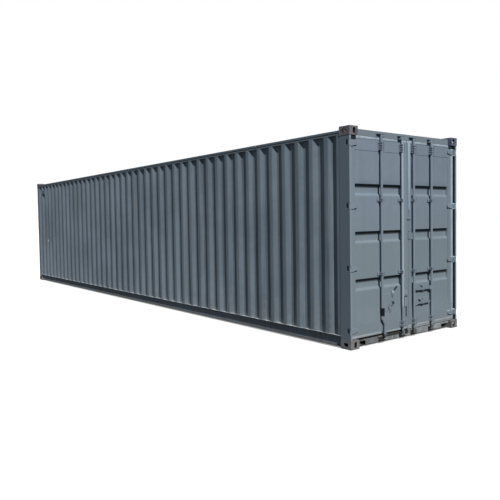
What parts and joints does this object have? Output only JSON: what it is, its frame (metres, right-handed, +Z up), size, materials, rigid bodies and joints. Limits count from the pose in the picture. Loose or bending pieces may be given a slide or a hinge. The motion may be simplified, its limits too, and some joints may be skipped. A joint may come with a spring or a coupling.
{
  "type": "forty foot high cube storage container",
  "caption": "Long corrugated steel storage container with corner castings, plywood floor and double cargo doors with turning locking bars and lift handles.",
  "frame": {"origin": "on the ground under the middle of the box", "axes": "+X along the box towards the cargo doors, +Y across it to the right door's side, +Z up"},
  "size_m": [12.192, 2.438, 2.896],
  "materials": {
    "plywood": "worn marine plywood, matt",
    "seal_rubber": "weathered pale grey rubber",
    "casting_steel": "worn dark paint over cast steel, rusty edges",
    "underframe_paint": "satin blue-grey paint, road dirt",
    "worn_paint": "scuffed grey paint, dirt and rust",
    "hinge_steel": "blue-grey paint, rust at the pins",
    "handle_paint": "worn blue-grey paint",
    "gear_paint": "satin blue-grey paint, chipped",
    "wall_paint": "satin blue-grey paint, chalky, rust specks",
    "door_paint": "satin blue-grey paint, dusty",
    "frame_paint": "satin blue-grey paint, rust along edges"
  },
  "bodies": {
    "container": {"top_corner_castings": "casting_steel", "bottom_corner_castings": "casting_steel", "door_posts": "door_paint", "front_posts": "frame_paint", "door_header": "door_paint", "door_sill": "worn_paint", "front_top_rail": "frame_paint", "front_bottom_rail": "underframe_paint", "top_side_rails": "frame_paint", "bottom_side_rails": "underframe_paint", "left_side_wall": "wall_paint", "right_side_wall": "wall_paint", "front_wall": "wall_paint", "roof_panel": "wall_paint", "floor_boards": "plywood", "cross_members": "underframe_paint", "left_hinge_lugs": "hinge_steel", "right_hinge_lugs": "hinge_steel", "header_keepers": "gear_paint", "sill_keepers": "worn_paint", "air_vents": "frame_paint"},
    "left_door": {"left_door_frame": "door_paint", "left_door_panel": "door_paint", "left_door_seal": "seal_rubber", "left_hinge_blades": "hinge_steel", "left_bar_guides": "gear_paint", "left_lock_plate": "gear_paint"},
    "right_door": {"right_door_frame": "door_paint", "right_door_panel": "door_paint", "right_door_seal": "seal_rubber", "right_hinge_blades": "hinge_steel", "right_bar_guides": "gear_paint", "right_handle_rests": "gear_paint"},
    "left_outer_bar": {"left_outer_bar": "gear_paint"},
    "left_inner_bar": {"left_inner_bar": "gear_paint"},
    "right_inner_bar": {"right_inner_bar": "gear_paint"},
    "right_inner_handle": {"right_inner_handle": "handle_paint"},
    "right_outer_bar": {"right_outer_bar": "gear_paint"},
    "right_outer_handle": {"right_outer_handle": "handle_paint"}
  },
  "joints": [
    {"name": "left_door_swing", "type": "hinge", "parent": "container", "child": "left_door", "pos_m": [6.076, -1.199, 1.45], "axis": [0, 0, -1], "range_deg": [0, 265]},
    {"name": "right_door_swing", "type": "hinge", "parent": "container", "child": "right_door", "pos_m": [6.076, 1.199, 1.45], "axis": [0, 0, 1], "range_deg": [0, 265]},
    {"name": "left_outer_bar_turn", "type": "hinge", "parent": "left_door", "child": "left_outer_bar", "pos_m": [6.074, -0.557, 0.427], "axis": [0, 0, 1], "range_deg": [-100, 0]},
    {"name": "left_inner_bar_turn", "type": "hinge", "parent": "left_door", "child": "left_inner_bar", "pos_m": [6.074, -0.102, 1.45], "axis": [0, 0, -1], "range_deg": [-100, 0]},
    {"name": "right_inner_bar_turn", "type": "hinge", "parent": "right_door", "child": "right_inner_bar", "pos_m": [6.074, 0.16, 0.468], "axis": [0, 0, 1], "range_deg": [-100, 0]},
    {"name": "right_outer_bar_turn", "type": "hinge", "parent": "right_door", "child": "right_outer_bar", "pos_m": [6.074, 0.588, 0.668], "axis": [0, 0, -1], "range_deg": [-100, 0]},
    {"name": "right_inner_handle_lift", "type": "hinge", "parent": "right_inner_bar", "child": "right_inner_handle", "pos_m": [6.074, 0.204, 0.468], "axis": [1, 0, 0], "range_deg": [0, 20]},
    {"name": "right_outer_handle_lift", "type": "hinge", "parent": "right_outer_bar", "child": "right_outer_handle", "pos_m": [6.074, 0.544, 0.668], "axis": [-1, 0, 0], "range_deg": [0, 20]}
  ]
}
